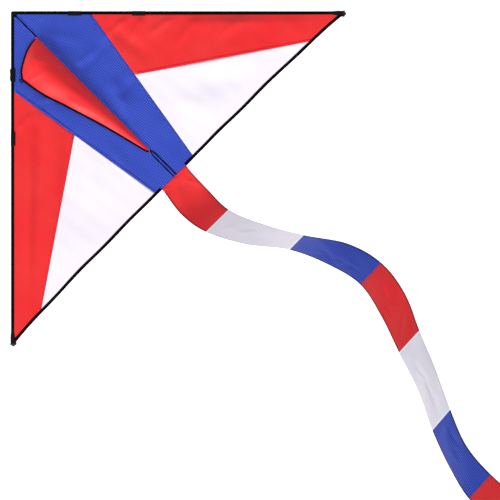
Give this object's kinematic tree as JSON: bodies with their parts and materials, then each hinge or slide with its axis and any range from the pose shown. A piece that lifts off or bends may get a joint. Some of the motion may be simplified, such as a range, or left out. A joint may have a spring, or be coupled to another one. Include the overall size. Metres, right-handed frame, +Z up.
{
  "type": "delta kite",
  "caption": "Single-line delta kite with a soft keel, coloured sail panels, black-bound edges, round rods and a long ribbon tail, laid out keel side up.",
  "frame": {"origin": "on the surface the kite lies on, in the middle of its laid-out length, on the spine's plane", "axes": "+Y from the tail to the nose along the spine, +X to the right wing tip, +Z up out of the keel side of the sail"},
  "size_m": [1.2096, 2.283, 0.0751],
  "materials": {
    "ripstop_blue": "satin ripstop polyester",
    "ripstop_red": "satin ripstop polyester",
    "ripstop_white": "satin ripstop polyester",
    "edging_tape": "matt woven tape",
    "webbing": "matt woven webbing",
    "vinyl": "soft satin",
    "moulded_plastic": "moulded satin",
    "fibreglass": "pultruded satin"
  },
  "bodies": {
    "frame_and_left_wing": {"spine_rod": "fibreglass", "spine_pocket": "edging_tape", "spine_tape": "ripstop_blue", "spine_cap_front": "vinyl", "spine_cap_rear": "vinyl", "tail_header": "ripstop_red", "nose_patch": "webbing", "left_blue_panel": "ripstop_blue", "left_red_panel": "ripstop_red", "left_white_panel": "ripstop_white", "left_leading_rod": "fibreglass", "left_leading_sleeve": "edging_tape", "left_front_patch": "webbing", "left_rear_patch": "webbing", "left_rod_nose_cap": "vinyl", "left_rod_tip_cap": "vinyl", "left_tip_pocket": "webbing", "left_tip_knot": "moulded_plastic", "left_trailing_binding": "edging_tape"},
    "right_wing": {"right_blue_panel": "ripstop_blue", "right_red_panel": "ripstop_red", "right_white_panel": "ripstop_white", "right_leading_rod": "fibreglass", "right_leading_sleeve": "edging_tape", "right_front_patch": "webbing", "right_rear_patch": "webbing", "right_rod_nose_cap": "vinyl", "right_rod_tip_cap": "vinyl", "right_tip_pocket": "webbing", "right_tip_knot": "moulded_plastic", "right_trailing_binding": "edging_tape"},
    "keel": {"keel_panel": "ripstop_red", "keel_front_binding": "edging_tape", "keel_rear_binding": "edging_tape", "tow_tab": "webbing"},
    "spreader": {"spreader_rod": "fibreglass", "right_spreader_hook": "moulded_plastic", "left_spreader_hook": "moulded_plastic"},
    "tail_1": {"tail_panel_1_red": "ripstop_red"},
    "tail_2": {"tail_panel_2_white": "ripstop_white"},
    "tail_3": {"tail_panel_3_blue": "ripstop_blue"},
    "tail_4": {"tail_panel_4_red": "ripstop_red"},
    "tail_5": {"tail_panel_5_white": "ripstop_white"},
    "tail_6": {"tail_panel_6_blue": "ripstop_blue"},
    "tail_7": {"tail_panel_7_red": "ripstop_red"},
    "tail_8": {"tail_panel_8_white": "ripstop_white"},
    "tail_9": {"tail_panel_9_blue": "ripstop_blue", "tail_end_hem": "ripstop_blue"}
  },
  "joints": [
    {"name": "right_wing_fold", "type": "hinge", "parent": "frame_and_left_wing", "child": "right_wing", "pos_m": [0, 0.8415, 0.0122], "axis": [0, -1, 0], "range_deg": [0, 118]},
    {"name": "keel_swing", "type": "hinge", "parent": "frame_and_left_wing", "child": "keel", "pos_m": [0, 0.8415, 0.0122], "axis": [0, -1, 0], "range_deg": [-114, 0]},
    {"name": "spreader_release", "type": "slide", "parent": "frame_and_left_wing", "child": "spreader", "axis": [0, 0, -1], "range_m": [0, 0.035]},
    {"name": "tail_root_lift", "type": "hinge", "parent": "frame_and_left_wing", "child": "tail_1", "pos_m": [-0.007, 0.5405, 0.0122], "axis": [-1, 0, 0], "range_deg": [0, 60]},
    {"name": "tail_seam_2_lift", "type": "hinge", "parent": "tail_1", "child": "tail_2", "pos_m": [-0.0045, 0.3895, 0.023], "axis": [-0.8775, 0, 0.4796], "range_deg": [-10, 15]},
    {"name": "tail_seam_3_lift", "type": "hinge", "parent": "tail_2", "child": "tail_3", "pos_m": [0.098, 0.2115, 0.0376], "axis": [-0.5823, 0, 0.813], "range_deg": [-10, 15]},
    {"name": "tail_seam_4_lift", "type": "hinge", "parent": "tail_3", "child": "tail_4", "pos_m": [0.175, 0.0225, 0.0251], "axis": [-0.8468, 0, 0.5319], "range_deg": [-10, 15]},
    {"name": "tail_seam_5_lift", "type": "hinge", "parent": "tail_4", "child": "tail_5", "pos_m": [0.1205, -0.1725, 0.0256], "axis": [-0.8387, 0, 0.5446], "range_deg": [-10, 15]},
    {"name": "tail_seam_6_lift", "type": "hinge", "parent": "tail_5", "child": "tail_6", "pos_m": [0.039, -0.3665, 0.0306], "axis": [-0.7593, 0, 0.6508], "range_deg": [-10, 15]},
    {"name": "tail_seam_7_lift", "type": "hinge", "parent": "tail_6", "child": "tail_7", "pos_m": [-0.0115, -0.5565, 0.0206], "axis": [-0.9008, 0, 0.4341], "range_deg": [-10, 15]},
    {"name": "tail_seam_8_lift", "type": "hinge", "parent": "tail_7", "child": "tail_8", "pos_m": [0.013, -0.7485, 0.0156], "axis": [-0.9454, 0, 0.326], "range_deg": [-10, 15]},
    {"name": "tail_seam_9_lift", "type": "hinge", "parent": "tail_8", "child": "tail_9", "pos_m": [0.031, -0.9405, 0.0106], "axis": [-0.9762, 0, 0.2169], "range_deg": [-10, 15]}
  ]
}
